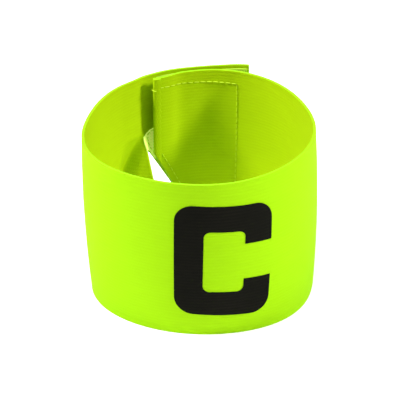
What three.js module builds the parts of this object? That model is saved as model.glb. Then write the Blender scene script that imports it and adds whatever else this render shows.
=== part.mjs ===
// A captain's armband: one strip of woven elastic, closed on itself at the back with hook and loop tape.
// Millimetres, +Z up. It stands on its lower edge, the foot, with the middle of its outline over the
// origin and the closure at the back, towards +Y. The upper edge is the rim.
//
// Every piece is laid out flat first: along runs from the inner end once round to the outer end, up runs
// from the foot to the rim, and out is measured from the middle of the elastic. Then wrap bends it.
import * as THREE from "three";
import { mergeVertices } from "three/addons/utils/BufferGeometryUtils.js";
import { TessellateModifier } from "three/addons/modifiers/TessellateModifier.js";

// The elastic strip and the loop that it stands in
const BAND_WIDTH = 65;
const BAND_THICK = 1;
const RIM_RADIUS = 44.8;
const FOOT_INSET = 1.1;
const FOOT_SHIFT = 2.7;
const BARREL = 1;
const START_TURN = -25.5;
const END_TURN = 381.3;
const FLAT_END_TURN = 17.7;

// The ends: the hem turned in at the inner end, and the corner that is missing below it
const HEM_WIDTH = 3;
const CORNER_RISE = 32.5;
const CORNER_RUN = 16.5;

// The closure
const LOOP_THICK = 0.6;
const LOOP_LENGTH = 35.5;
const LOOP_MARGIN = 3;
const HOOK_THICK = 0.6;
const HOOK_LENGTH = 42.5;
const HOOK_MARGIN = 1.5;
const TAPE_INSET = 0.8;
const SEAT_GAP = 0.3;

// The tuck beside the hook tape: the edge is lifted on one side of it and leans inwards on the other
const TUCK_SETBACK = 1.8;
const TUCK_SPAN = 21.5;
const TUCK_RISE = 33;
const TUCK_HEIGHT = 40;
const TUCK_WIDTH = 18;
const TUCK_LEAN = 18;
const TUCK_RETURN = 1.6;
const TUCK_SOFTNESS = 0.12;

// The bulge above the tuck's crease; its reach and crest are shares of the tuck
const BULGE_DEPTH = 5.5;
const BULGE_REACH = 0.8;
const BULGE_CREST = 0.12;

// The captain's mark: a plain block letter in film, set a little askew on the front
const MARK_TURN = 170.6;
const MARK_WIDTH = 36;
const MARK_HEIGHT = 47;
const MARK_STROKE = 10.5;
const MARK_ARM = 16;
const MARK_CORNER = 7;
const MARK_INNER_CORNER = 2.5;
const MARK_TILT = -3.4;
const MARK_THICK = 0.3;

// How finely the sheets are faceted
const COLUMN_STEP = 5;
const CLOSURE_STEP = 2.5;
const TUCK_STEP = 1.6;
const BAND_ROWS = 14;
const TAPE_ROWS = 12;
const MARK_STEP = 6;
const MARK_CURVE_STEPS = 4;
const PATH_STEPS = 1600;
const MERGE_DISTANCE = 1e-5;
const SLOPE_REACH = 0.05;

// How far the loop is from round, in shares of its radius, at the rim and at the foot
const OUT_OF_ROUND = [
  { lobes: 2, rimCos: -0.0405, rimSin: 0.0168, footCos: -0.0231, footSin: 0.0237 },
  { lobes: 3, rimCos: -0.0036, rimSin: -0.0144, footCos: -0.0009, footSin: -0.0278 },
  { lobes: 4, rimCos: -0.0049, rimSin: 0.0017, footCos: -0.0107, footSin: 0.0251 },
  { lobes: 5, rimCos: 0.0077, rimSin: -0.0059, footCos: -0.0123, footSin: -0.0052 },
];

// Where the two layers of the closure run. The share of the overlap is counted from the inner end, and
// out is a share of the step from one layer to the next.
const INNER_LAYER = [
  { overlap: 0.0, out: -0.89 },
  { overlap: 0.1, out: -1.03 },
  { overlap: 0.21, out: -0.9 },
  { overlap: 0.33, out: -0.45 },
  { overlap: 0.47, out: -0.27 },
  { overlap: 0.65, out: -0.03 },
  { overlap: 0.9, out: 0.06 },
  { overlap: 1.25, out: 0.02 },
  { overlap: 1.6, out: 0.0 },
];
const OUTER_LAYER = [
  { overlap: -0.4, out: 0.0 },
  { overlap: -0.2, out: 0.0 },
  { overlap: -0.06, out: 0.3 },
  { overlap: 0.05, out: 0.42 },
  { overlap: 0.14, out: 0.55 },
  { overlap: 0.24, out: 0.66 },
  { overlap: 0.35, out: 0.72 },
  { overlap: 0.47, out: 0.8 },
  { overlap: 0.64, out: 1.08 },
  { overlap: 0.78, out: 1.5 },
  { overlap: 0.92, out: 2.12 },
  { overlap: 1.0, out: 2.38 },
];

// The lifted edge: along in shares of the tuck's span, up in shares of its rise, and rim, where the
// column of cloth above reaches the rim, in shares of the span
const LIFTED_EDGE = [
  { along: 0.0, up: 0.0, rim: -0.12 },
  { along: 0.004, up: 0.35, rim: -0.08 },
  { along: 0.008, up: 0.7, rim: -0.04 },
  { along: 0.014, up: 0.93, rim: 0.0 },
  { along: 0.035, up: 1.0, rim: 0.03 },
  { along: 0.065, up: 0.98, rim: 0.07 },
  { along: 0.1, up: 0.95, rim: 0.11 },
  { along: 0.17, up: 0.91, rim: 0.17 },
  { along: 0.28, up: 0.79, rim: 0.28 },
  { along: 0.46, up: 0.59, rim: 0.46 },
  { along: 0.64, up: 0.395, rim: 0.64 },
  { along: 0.82, up: 0.197, rim: 0.82 },
  { along: 1.0, up: 0.0, rim: 1.0 },
];

const DEGREE = Math.PI / 180;
const LAYER_STEP = BAND_THICK + LOOP_THICK + HOOK_THICK + 3 * SEAT_GAP;
const FULL_TURN = 360;
const OVERLAP_TURN = END_TURN - FULL_TURN - START_TURN;
const lerp = THREE.MathUtils.lerp;

/** A smooth function through table rows: the places go in increasing order. */
function throughRows(places, values) {
  const curve = new THREE.CubicInterpolant(places, values, 1);
  return (place) => curve.evaluate(THREE.MathUtils.clamp(place, places[0], places[places.length - 1]))[0];
}

const layerPlaces = [
  ...INNER_LAYER.map((row) => START_TURN + row.overlap * OVERLAP_TURN),
  ...OUTER_LAYER.map((row) => FULL_TURN + START_TURN + row.overlap * OVERLAP_TURN),
];
const layerOut = throughRows(
  layerPlaces,
  [...INNER_LAYER, ...OUTER_LAYER].map((row) => row.out * LAYER_STEP),
);

/** A point of the rim's or the foot's loop. A turn of 0 is the back, and it grows to the right. */
function ringPoint(turn, radius, cosColumn, sinColumn) {
  const heading = (90 - turn) * DEGREE;
  let share = 1;
  for (const row of OUT_OF_ROUND) {
    share += row[cosColumn] * Math.cos(row.lobes * heading) + row[sinColumn] * Math.sin(row.lobes * heading);
  }
  return new THREE.Vector2(Math.cos(heading), Math.sin(heading)).multiplyScalar(radius * share);
}

/** How far the stiff closure stands inside the round loop, as a share: flat at the foot, round at the rim. */
function flattening(turn, level) {
  const half = (FLAT_END_TURN - START_TURN) / 2;
  const fromStart = THREE.MathUtils.euclideanModulo(turn - START_TURN, FULL_TURN);
  if (fromStart > 2 * half) {
    return 0;
  }
  return (1 - Math.cos(half * DEGREE) / Math.cos((fromStart - half) * DEGREE)) * (1 - level);
}

/** A point of the loop's middle surface. The grain stands upright at the closure, whatever the foot's shift. */
function loopPoint(turn, up) {
  const level = up / BAND_WIDTH;
  const grain = (FOOT_SHIFT / RIM_RADIUS / DEGREE) * (1 + Math.cos(turn * DEGREE)) / 2;
  const rim = ringPoint(turn, RIM_RADIUS, "rimCos", "rimSin");
  const foot = ringPoint(turn - grain, RIM_RADIUS - FOOT_INSET, "footCos", "footSin");
  foot.x += FOOT_SHIFT;
  const swell = 1 + (4 * level * (1 - level) * BARREL) / RIM_RADIUS;
  return foot.lerp(rim, level).multiplyScalar(swell - flattening(turn, level));
}

/** The loop's middle surface with the closure's two layers apart. */
function layeredPoint(turn, up) {
  const outward = new THREE.Vector2(Math.sin(turn * DEGREE), Math.cos(turn * DEGREE));
  return loopPoint(turn, up).addScaledVector(outward, layerOut(turn));
}

/** The strip's length at mid height against the turn, as two lists. */
function measurePath() {
  const turns = [START_TURN];
  const lengths = [0];
  let last = layeredPoint(START_TURN, BAND_WIDTH / 2);
  for (let i = 1; i <= PATH_STEPS; i += 1) {
    const turn = lerp(START_TURN, END_TURN, i / PATH_STEPS);
    const point = layeredPoint(turn, BAND_WIDTH / 2);
    turns.push(turn);
    lengths.push(lengths[i - 1] + point.distanceTo(last));
    last = point;
  }
  return { turns, lengths };
}

const path = measurePath();
const BAND_LENGTH = path.lengths[PATH_STEPS];
const turnCurve = new THREE.LinearInterpolant(path.lengths, path.turns, 1);
const lengthCurve = new THREE.LinearInterpolant(path.turns, path.lengths, 1);
const turnAt = (along) => turnCurve.evaluate(along)[0];
const lengthAt = (turn) => lengthCurve.evaluate(turn)[0];

const HOOK_START = BAND_LENGTH - TAPE_INSET - HOOK_LENGTH;
const TUCK_AT = HOOK_START - TUCK_SETBACK;

/** Zero below, the value itself above, and a soft bend of a given size between. */
function softRamp(value, softness) {
  if (value < -softness) {
    return 0;
  }
  return value > softness ? value : (value + softness) ** 2 / (4 * softness);
}

/** How far the cloth leans inwards: a flat fold whose crease runs from beside the tape down to the foot. */
function tuckLean(along, up) {
  const share = 1 - (TUCK_AT - along) / TUCK_WIDTH - up / TUCK_HEIGHT;
  const fold = TUCK_LEAN * softRamp(share, TUCK_SOFTNESS);
  const swelling = THREE.MathUtils.smoothstep(share, -BULGE_REACH, -BULGE_CREST);
  const creased = 1 - THREE.MathUtils.smoothstep(share, -BULGE_CREST, BULGE_CREST);
  const belly = Math.sin(Math.PI * THREE.MathUtils.clamp(up / TUCK_HEIGHT, 0, 1));
  const held = 1 - THREE.MathUtils.smoothstep(along, TUCK_AT, TUCK_AT + TUCK_RETURN);
  return (fold - BULGE_DEPTH * swelling * creased * belly) * held;
}

/** The middle of the cloth in plan, at a place on the flat strip. */
function middlePoint(along, up) {
  const turn = turnAt(along);
  const inward = new THREE.Vector2(-Math.sin(turn * DEGREE), -Math.cos(turn * DEGREE));
  return layeredPoint(turn, up).addScaledVector(inward, tuckLean(along, up));
}

/** Bends a place on the flat strip into the standing loop. Heights stay, so the foot stays level. */
function wrap(along, out, up) {
  const before = Math.max(along - SLOPE_REACH, 0);
  const after = Math.min(along + SLOPE_REACH, BAND_LENGTH);
  const run = middlePoint(after, up).sub(middlePoint(before, up)).normalize();
  const point = middlePoint(along, up);
  return new THREE.Vector3(point.x - run.y * out, point.y + run.x * out, up);
}

/** How high the lifted edge is, for a place along the strip. */
function liftedEdge(along) {
  const share = (along - TUCK_AT) / TUCK_SPAN;
  const next = LIFTED_EDGE.findIndex((row) => row.along > share);
  if (next < 1) {
    return 0;
  }
  const [a, b] = [LIFTED_EDGE[next - 1], LIFTED_EDGE[next]];
  return TUCK_RISE * THREE.MathUtils.mapLinear(share, a.along, b.along, a.up, b.up);
}

/** How high the inner end's missing corner reaches, for a place along the strip. */
function cornerEdge(along) {
  return CORNER_RISE * Math.max(0, 1 - along / CORNER_RUN);
}

/** Places from one value to another, evenly spaced by about a step, with both ends. */
function evenly(from, to, step) {
  const count = Math.max(1, Math.round((to - from) / step));
  return Array.from({ length: count + 1 }, (_, i) => lerp(from, to, i / count));
}

/** A closed sheet from columns of cloth, each with its foot, its top and its two faces, wrapped round. */
function wrappedSheet(columns, rows) {
  const sheet = new THREE.BoxGeometry(1, 1, 1, columns.length - 1, rows, 1);
  sheet.deleteAttribute("normal");
  sheet.deleteAttribute("uv");
  const place = sheet.getAttribute("position");
  for (let i = 0; i < place.count; i += 1) {
    const column = columns[Math.round((place.getX(i) + 0.5) * (columns.length - 1))];
    const share = place.getY(i) + 0.5;
    const along = lerp(column.foot.along, column.top.along, share);
    const up = lerp(column.foot.up, column.top.up, share);
    const point = wrap(along, lerp(column.outer, column.inner, place.getZ(i) + 0.5), up);
    place.setXYZ(i, point.x, point.y, point.z);
  }
  return mergeVertices(sheet, MERGE_DISTANCE);
}

/** A column of the elastic, upright unless its top is given. */
function bandColumn(along, up, topAlong = along, hem = 0) {
  return {
    foot: { along, up },
    top: { along: topAlong, up: BAND_WIDTH },
    inner: -BAND_THICK / 2 - hem,
    outer: BAND_THICK / 2,
  };
}

/** The elastic: hem, missing corner, plain wall, tuck, lifted edge and outer end in one piece. */
function bandGeometry() {
  const tuckStart = TUCK_AT - TUCK_WIDTH - TUCK_STEP;
  const liftStart = TUCK_AT + LIFTED_EDGE[0].rim * TUCK_SPAN;
  const hemEdge = HEM_WIDTH + SEAT_GAP;
  const columns = [];
  for (const along of evenly(0, HEM_WIDTH, HEM_WIDTH)) {
    columns.push(bandColumn(along, cornerEdge(along), along, BAND_THICK));
  }
  for (const along of evenly(hemEdge, CORNER_RUN, CLOSURE_STEP)) {
    columns.push(bandColumn(along, cornerEdge(along)));
  }
  for (const along of evenly(CORNER_RUN, LOOP_LENGTH, CLOSURE_STEP).slice(1)) {
    columns.push(bandColumn(along, 0));
  }
  for (const along of evenly(LOOP_LENGTH, tuckStart, COLUMN_STEP).slice(1)) {
    columns.push(bandColumn(along, 0));
  }
  for (const along of evenly(tuckStart, TUCK_AT, TUCK_STEP).slice(1, -1)) {
    const share = (along - tuckStart) / (TUCK_AT - tuckStart);
    columns.push(bandColumn(along, 0, lerp(tuckStart, liftStart, share)));
  }
  for (const row of LIFTED_EDGE) {
    columns.push(bandColumn(TUCK_AT + row.along * TUCK_SPAN, row.up * TUCK_RISE, TUCK_AT + row.rim * TUCK_SPAN));
  }
  for (const along of evenly(TUCK_AT + TUCK_SPAN, BAND_LENGTH, CLOSURE_STEP).slice(1)) {
    columns.push(bandColumn(along, 0));
  }
  return wrappedSheet(columns, BAND_ROWS);
}

/** A tape on one face of the elastic: side is 1 for the outer face and -1 for the inner one. */
function tapeGeometry(from, length, thick, margin, side, edge) {
  const near = side * (BAND_THICK / 2 + SEAT_GAP);
  const far = near + side * thick;
  const columns = evenly(from, from + length, CLOSURE_STEP).map((along) => ({
    foot: { along, up: Math.max(margin, edge(along) + TAPE_INSET) },
    top: { along, up: BAND_WIDTH - margin },
    inner: Math.min(near, far),
    outer: Math.max(near, far),
  }));
  return wrappedSheet(columns, TAPE_ROWS);
}

/** The mark's outline: an open box with round corners, read from outside, middle at the origin. */
function markShape() {
  const [right, top] = [MARK_WIDTH / 2, MARK_HEIGHT / 2];
  const inRight = right - MARK_STROKE;
  const [inLeft, inTop] = [MARK_STROKE - right, top - MARK_STROKE];
  const armFoot = top - MARK_ARM;
  const [big, small] = [MARK_CORNER, MARK_INNER_CORNER];
  const shape = new THREE.Shape();
  shape.moveTo(right, armFoot);
  shape.lineTo(right, top - big);
  shape.absarc(right - big, top - big, big, 0, Math.PI / 2);
  shape.absarc(big - right, top - big, big, Math.PI / 2, Math.PI);
  shape.absarc(big - right, big - top, big, Math.PI, 1.5 * Math.PI);
  shape.absarc(right - big, big - top, big, 1.5 * Math.PI, 2 * Math.PI);
  shape.lineTo(right, -armFoot);
  shape.lineTo(inRight, -armFoot);
  shape.lineTo(inRight, small - inTop);
  shape.absarc(inRight - small, small - inTop, small, 0, -Math.PI / 2, true);
  shape.absarc(inLeft + small, small - inTop, small, 1.5 * Math.PI, Math.PI, true);
  shape.absarc(inLeft + small, inTop - small, small, Math.PI, Math.PI / 2, true);
  shape.absarc(inRight - small, inTop - small, small, Math.PI / 2, 0, true);
  shape.lineTo(inRight, armFoot);
  shape.closePath();
  return shape;
}

/** The film of the mark: cut flat, turned askew, divided finely enough to bend, and wrapped on the front. */
function markGeometry() {
  const flat = new THREE.ExtrudeGeometry(markShape(), {
    depth: MARK_THICK,
    bevelEnabled: false,
    curveSegments: MARK_CURVE_STEPS,
  });
  flat.deleteAttribute("normal");
  flat.deleteAttribute("uv");
  const film = new TessellateModifier(MARK_STEP, PATH_STEPS).modify(flat);
  film.rotateZ(MARK_TILT * DEGREE);
  const place = film.getAttribute("position");
  const middle = lengthAt(MARK_TURN);
  for (let i = 0; i < place.count; i += 1) {
    const out = BAND_THICK / 2 + SEAT_GAP + place.getZ(i);
    const point = wrap(middle - place.getX(i), out, BAND_WIDTH / 2 + place.getY(i));
    place.setXYZ(i, point.x, point.y, point.z);
  }
  return mergeVertices(film, MERGE_DISTANCE);
}

/** A named piece with its own material. */
function piece(name, geometry, color, roughness) {
  geometry.computeVertexNormals();
  const mesh = new THREE.Mesh(geometry, new THREE.MeshStandardMaterial({ color, roughness, metalness: 0 }));
  mesh.name = name;
  return mesh;
}

const armband = new THREE.Group();
armband.add(
  piece("band", bandGeometry(), 0xb6ff0a, 0.85),
  piece("loop_tape", tapeGeometry(TAPE_INSET, LOOP_LENGTH, LOOP_THICK, LOOP_MARGIN, 1, cornerEdge), 0xa8dc1e, 0.95),
  piece("hook_tape", tapeGeometry(HOOK_START, HOOK_LENGTH, HOOK_THICK, HOOK_MARGIN, -1, liftedEdge), 0xbcd550, 0.6),
  piece("captain_mark", markGeometry(), 0x0c0c0e, 0.7),
);
const outline = new THREE.Box3().setFromObject(armband, true);
armband.position.set(-(outline.min.x + outline.max.x) / 2, -(outline.min.y + outline.max.y) / 2, 0);

export default armband;
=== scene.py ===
"""A captain's armband: a strip of neon elastic that stands on its edge, closed in a loop on itself.

Metres, +Z up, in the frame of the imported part. Every piece of cloth is laid out flat first: along runs
from the inner end once round to the outer end, up runs from the foot to the rim, and out is measured
from the middle of the elastic. Strip.wrap then bends it into the loop that the part's solids stand in.
"""

import logging
import math
from collections.abc import Callable, Iterator
from contextlib import contextmanager
from dataclasses import dataclass, field
from enum import Enum, IntEnum

import bpy
import numpy as np
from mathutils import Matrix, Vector


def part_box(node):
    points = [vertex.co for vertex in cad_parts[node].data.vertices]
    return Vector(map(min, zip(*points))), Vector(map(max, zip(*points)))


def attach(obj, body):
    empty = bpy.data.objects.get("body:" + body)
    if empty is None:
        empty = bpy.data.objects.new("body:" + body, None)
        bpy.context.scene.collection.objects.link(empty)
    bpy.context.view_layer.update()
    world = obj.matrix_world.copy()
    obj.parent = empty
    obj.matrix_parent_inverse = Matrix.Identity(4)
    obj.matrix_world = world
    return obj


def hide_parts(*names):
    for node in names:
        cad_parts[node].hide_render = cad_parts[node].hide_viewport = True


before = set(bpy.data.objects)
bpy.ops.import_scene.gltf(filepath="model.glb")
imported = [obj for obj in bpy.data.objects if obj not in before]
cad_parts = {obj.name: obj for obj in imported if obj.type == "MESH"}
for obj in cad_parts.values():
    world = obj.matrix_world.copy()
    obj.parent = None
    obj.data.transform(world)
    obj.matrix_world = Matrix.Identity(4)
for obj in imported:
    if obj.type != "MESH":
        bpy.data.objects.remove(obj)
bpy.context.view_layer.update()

LOG = logging.getLogger("armband")
MM = 0.001
CLOTH_MAP = "cloth"
FULL_TURN = 360.0
SHARP_EDGE = math.radians(50)


class Side(Enum):
    """A face of the elastic, with the sign of its distance from the middle."""

    OUTER = 1
    INNER = -1


class Weave(IntEnum):
    """The elastic's material slots, in the order in which its finishes are added."""

    OUTER = 0
    INNER = 1
    SELVEDGE = 2


@dataclass(frozen=True)
class LobeRow:
    """How far the loop is from round, in shares of its radius, for one count of lobes."""

    lobes: int
    rim_cos: float
    rim_sin: float
    foot_cos: float
    foot_sin: float


@dataclass(frozen=True)
class LayerRow:
    """Where a layer of the closure runs: a share of the overlap, and a share of the layer step."""

    overlap: float
    out: float


@dataclass(frozen=True)
class EdgeRow:
    """The lifted edge: along and rim are shares of the tuck's span, up is a share of its rise."""

    along: float
    up: float
    rim: float


@dataclass(frozen=True)
class SoftboxRow:
    """A square softbox: where it stands round the armband, its side in metres and its power in watts."""

    name: str
    azimuth: float
    elevation: float
    side: float
    watts: float


SOFTBOXES = (
    SoftboxRow("left_key", -88, 55, 0.16, 14.0),
    SoftboxRow("right_key", 80, 39, 0.16, 10.4),
    SoftboxRow("front_left", -60, 14, 0.3, 1.1),
    SoftboxRow("front", -15, 12, 0.3, 0.8),
    SoftboxRow("top", 0, 88, 0.5, 2.8),
)

OUT_OF_ROUND = (
    LobeRow(2, -0.0405, 0.0168, -0.0231, 0.0237),
    LobeRow(3, -0.0036, -0.0144, -0.0009, -0.0278),
    LobeRow(4, -0.0049, 0.0017, -0.0107, 0.0251),
    LobeRow(5, 0.0077, -0.0059, -0.0123, -0.0052),
)

INNER_LAYER = (
    LayerRow(0.0, -0.89),
    LayerRow(0.1, -1.03),
    LayerRow(0.21, -0.9),
    LayerRow(0.33, -0.45),
    LayerRow(0.47, -0.27),
    LayerRow(0.65, -0.03),
    LayerRow(0.9, 0.06),
    LayerRow(1.25, 0.02),
    LayerRow(1.6, 0.0),
)

OUTER_LAYER = (
    LayerRow(-0.4, 0.0),
    LayerRow(-0.2, 0.0),
    LayerRow(-0.06, 0.3),
    LayerRow(0.05, 0.42),
    LayerRow(0.14, 0.55),
    LayerRow(0.24, 0.66),
    LayerRow(0.35, 0.72),
    LayerRow(0.47, 0.8),
    LayerRow(0.64, 1.08),
    LayerRow(0.78, 1.5),
    LayerRow(0.92, 2.12),
    LayerRow(1.0, 2.38),
)

LIFTED_EDGE = (
    EdgeRow(0.0, 0.0, -0.12),
    EdgeRow(0.004, 0.35, -0.08),
    EdgeRow(0.008, 0.7, -0.04),
    EdgeRow(0.014, 0.93, 0.0),
    EdgeRow(0.035, 1.0, 0.03),
    EdgeRow(0.065, 0.98, 0.07),
    EdgeRow(0.1, 0.95, 0.11),
    EdgeRow(0.17, 0.91, 0.17),
    EdgeRow(0.28, 0.79, 0.28),
    EdgeRow(0.46, 0.59, 0.46),
    EdgeRow(0.64, 0.395, 0.64),
    EdgeRow(0.82, 0.197, 0.82),
    EdgeRow(1.0, 0.0, 1.0),
)


def smooth_through(places: np.ndarray, values: np.ndarray, at: np.ndarray) -> np.ndarray:
    """Reads a smooth curve through table rows.

    Args:
        places: Where the rows lie, in increasing order.
        values: The value of each row.
        at: Where the curve is read; places beyond the rows give the end values.

    Returns:
        The curve's value at each place.
    """
    at = np.clip(at, places[0], places[-1])
    secants = np.diff(values) / np.diff(places)
    slopes = np.concatenate([secants[:1], (secants[:-1] + secants[1:]) / 2, secants[-1:]])
    row = np.clip(np.searchsorted(places, at, side="right") - 1, 0, len(places) - 2)
    span = places[row + 1] - places[row]
    share = (at - places[row]) / span
    start = values[row] * (1 + 2 * share) * (1 - share) ** 2
    end = values[row + 1] * share**2 * (3 - 2 * share)
    bend = slopes[row] * (1 - share) - slopes[row + 1] * share
    return start + end + span * share * (1 - share) * bend


def smooth_step(value: np.ndarray, low: float, high: float) -> np.ndarray:
    """Goes softly from 0 at the low value to 1 at the high one."""
    share = np.clip((value - low) / (high - low), 0, 1)
    return share**2 * (3 - 2 * share)


def evenly(start: float, stop: float, step: float) -> np.ndarray:
    """Places from start to stop with both ends, spaced by about a step."""
    return np.linspace(start, stop, max(1, round(abs(stop - start) / step)) + 1)


@dataclass(frozen=True)
class Strip:
    """The elastic strip, and the loop that it stands in.

    Attributes:
        width: From the foot to the rim.
        thick: The elastic's thickness in the part's solids.
        rim_radius: Mean radius of the rim.
        foot_inset: How much smaller the foot's radius is.
        foot_shift: How far the foot stands to the right of the rim.
        barrel: How far the wall swells at mid height.
        start_turn: Where the inner end lies, in degrees right of the back.
        end_turn: Where the outer end lies, a full turn and the overlap further on.
        flat_end_turn: Where the stiff closure, flat towards the foot, ends.
        layer_step: From the middle of one layer of the closure to the next.
        corner_rise: Height of the inner end's missing lower corner.
        corner_run: Its length along the foot.
        tape_inset: How far the tapes stay back from the elastic's edges.
        hook_length: Length of the hook tape.
        tuck_setback: From the tuck's crease to the hook tape.
        tuck_span: Length of the lifted edge.
        tuck_rise: How high it is lifted.
        tuck_height: Where the tuck's crease meets the tape.
        tuck_width: How far along the foot the tuck leans in.
        tuck_lean: How far its lowest corner leans in.
        tuck_return: Width of the bend back to the tape.
        tuck_softness: Softness of the crease, as a share of the tuck.
        bulge_depth: How far the cloth bulges outwards above the crease.
        bulge_reach: How far from the crease the bulge starts, as a share of the tuck.
        bulge_crest: Where it is highest, as such a share.
        path_steps: How many steps the strip's length is measured in.
        outline_step: Spacing of the rows that its outline in plan is measured on.
        reach: How far to each side of a place the strip's direction is read.
    """

    width: float = 65 * MM
    thick: float = 1 * MM
    rim_radius: float = 44.8 * MM
    foot_inset: float = 1.1 * MM
    foot_shift: float = 2.7 * MM
    barrel: float = 1 * MM
    start_turn: float = -25.5
    end_turn: float = 381.3
    flat_end_turn: float = 17.7
    layer_step: float = 3.1 * MM
    corner_rise: float = 32.5 * MM
    corner_run: float = 16.5 * MM
    tape_inset: float = 0.8 * MM
    hook_length: float = 42.5 * MM
    tuck_setback: float = 1.8 * MM
    tuck_span: float = 21.5 * MM
    tuck_rise: float = 33 * MM
    tuck_height: float = 40 * MM
    tuck_width: float = 18 * MM
    tuck_lean: float = 18 * MM
    tuck_return: float = 1.6 * MM
    tuck_softness: float = 0.12
    bulge_depth: float = 5.5 * MM
    bulge_reach: float = 0.8
    bulge_crest: float = 0.12
    path_steps: int = 1600
    outline_step: float = 5 * MM
    reach: float = 0.05 * MM
    turns: np.ndarray = field(init=False)
    lengths: np.ndarray = field(init=False)
    shift: np.ndarray = field(init=False)

    def __post_init__(self) -> None:
        """Measures the strip's length at mid height against the turn, and finds the part's origin."""
        turns = np.linspace(self.start_turn, self.end_turn, self.path_steps + 1)
        points = self.layered(turns, np.full_like(turns, self.width / 2))
        steps = np.hypot(*np.diff(points, axis=0).T)
        object.__setattr__(self, "turns", turns)
        object.__setattr__(self, "lengths", np.concatenate([[0.0], np.cumsum(steps)]))
        object.__setattr__(self, "shift", np.zeros(2))
        object.__setattr__(self, "shift", self.box_middle() - self.outline_middle())

    @property
    def length(self) -> float:
        """The strip's length at mid height."""
        return float(self.lengths[-1])

    @property
    def overlap_turn(self) -> float:
        """How far the two ends overlap, in degrees."""
        return self.end_turn - FULL_TURN - self.start_turn

    @property
    def hook_start(self) -> float:
        """Where the hook tape starts along the strip."""
        return self.length - self.tape_inset - self.hook_length

    @property
    def tuck_at(self) -> float:
        """Where the tuck's upright edge lies along the strip."""
        return self.hook_start - self.tuck_setback

    def box_middle(self) -> np.ndarray:
        """The middle of the band's solid in plan."""
        low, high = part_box("band")
        return np.array([(low.x + high.x) / 2, (low.y + high.y) / 2])

    def outline_middle(self) -> np.ndarray:
        """The middle of the wrapped strip in plan, before it is brought to the part's origin."""
        along, up = np.meshgrid(self.lengths, evenly(0, self.width, self.outline_step))
        half = np.full(along.size, self.thick / 2)
        outer = self.wrap(along.ravel(), half, up.ravel())[:, :2]
        return (outer.min(axis=0) + outer.max(axis=0)) / 2

    def ring(self, turn: np.ndarray, radius: float, rim: bool) -> np.ndarray:
        """A point of the rim's or the foot's loop; a turn of 0 is the back, and it grows to the right."""
        heading = np.radians(90 - turn)
        share = np.ones_like(heading)
        for row in OUT_OF_ROUND:
            cos_part, sin_part = (row.rim_cos, row.rim_sin) if rim else (row.foot_cos, row.foot_sin)
            share = share + cos_part * np.cos(row.lobes * heading) + sin_part * np.sin(row.lobes * heading)
        return np.stack([np.cos(heading), np.sin(heading)], axis=-1) * (radius * share)[:, None]

    def flattening(self, turn: np.ndarray, level: np.ndarray) -> np.ndarray:
        """How far the stiff closure stands inside the round loop, as a share: flat only at the foot."""
        half = (self.flat_end_turn - self.start_turn) / 2
        past = np.mod(turn - self.start_turn, FULL_TURN) - half
        share = 1 - math.cos(math.radians(half)) / np.cos(np.radians(np.minimum(past, half)))
        return share * (1 - level)

    def loop(self, turn: np.ndarray, up: np.ndarray) -> np.ndarray:
        """A point of the loop's middle surface in plan, with the grain upright at the closure."""
        level = up / self.width
        grain = math.degrees(self.foot_shift / self.rim_radius) * (1 + np.cos(np.radians(turn))) / 2
        rim = self.ring(turn, self.rim_radius, True)
        foot = self.ring(turn - grain, self.rim_radius - self.foot_inset, False)
        foot[:, 0] += self.foot_shift
        swell = 1 + 4 * level * (1 - level) * self.barrel / self.rim_radius
        swell = swell - self.flattening(turn, level)
        return (foot + (rim - foot) * level[:, None]) * swell[:, None]

    def layered(self, turn: np.ndarray, up: np.ndarray) -> np.ndarray:
        """The loop's middle surface with the closure's two layers apart."""
        inner = [(self.start_turn + row.overlap * self.overlap_turn, row.out) for row in INNER_LAYER]
        second = FULL_TURN + self.start_turn
        outer = [(second + row.overlap * self.overlap_turn, row.out) for row in OUTER_LAYER]
        places, shares = np.array(inner + outer).T
        out = smooth_through(places, shares * self.layer_step, turn)
        outward = np.stack([np.sin(np.radians(turn)), np.cos(np.radians(turn))], axis=-1)
        return self.loop(turn, up) + outward * out[:, None]

    def tuck(self, along: np.ndarray, up: np.ndarray) -> np.ndarray:
        """How far the cloth leans inwards: a flat fold with a crease from beside the tape to the foot."""
        share = 1 - (self.tuck_at - along) / self.tuck_width - up / self.tuck_height
        soft = self.tuck_softness
        bend = (np.clip(share, -soft, soft) + soft) ** 2 / (4 * soft)
        fold = self.tuck_lean * np.where(share > soft, share, bend)
        swelling = smooth_step(share, -self.bulge_reach, -self.bulge_crest)
        creased = 1 - smooth_step(share, -self.bulge_crest, self.bulge_crest)
        belly = np.sin(np.pi * np.clip(up / self.tuck_height, 0, 1))
        held = 1 - smooth_step(along, self.tuck_at, self.tuck_at + self.tuck_return)
        return (fold - self.bulge_depth * swelling * creased * belly) * held

    def middle(self, along: np.ndarray, up: np.ndarray) -> np.ndarray:
        """The middle of the cloth in plan, at places on the flat strip."""
        turn = np.interp(along, self.lengths, self.turns)
        inward = -np.stack([np.sin(np.radians(turn)), np.cos(np.radians(turn))], axis=-1)
        return self.layered(turn, up) + inward * self.tuck(along, up)[:, None] + self.shift

    def run(self, along: np.ndarray, up: np.ndarray) -> np.ndarray:
        """The direction of the strip in plan, with a length of one."""
        before = self.middle(np.maximum(along - self.reach, 0), up)
        after = self.middle(np.minimum(along + self.reach, self.length), up)
        step = after - before
        return step / np.hypot(*step.T)[:, None]

    def wrap(self, along: np.ndarray, out: np.ndarray, up: np.ndarray) -> np.ndarray:
        """Bends places on the flat strip into the standing loop.

        Args:
            along: Places along the strip.
            out: Distances from the middle of the elastic, outwards.
            up: Heights above the foot.

        Returns:
            One row of x, y and z for each place.
        """
        run = self.run(along, up)
        point = self.middle(along, up)
        return np.stack([point[:, 0] - run[:, 1] * out, point[:, 1] + run[:, 0] * out, up], axis=-1)

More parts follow.
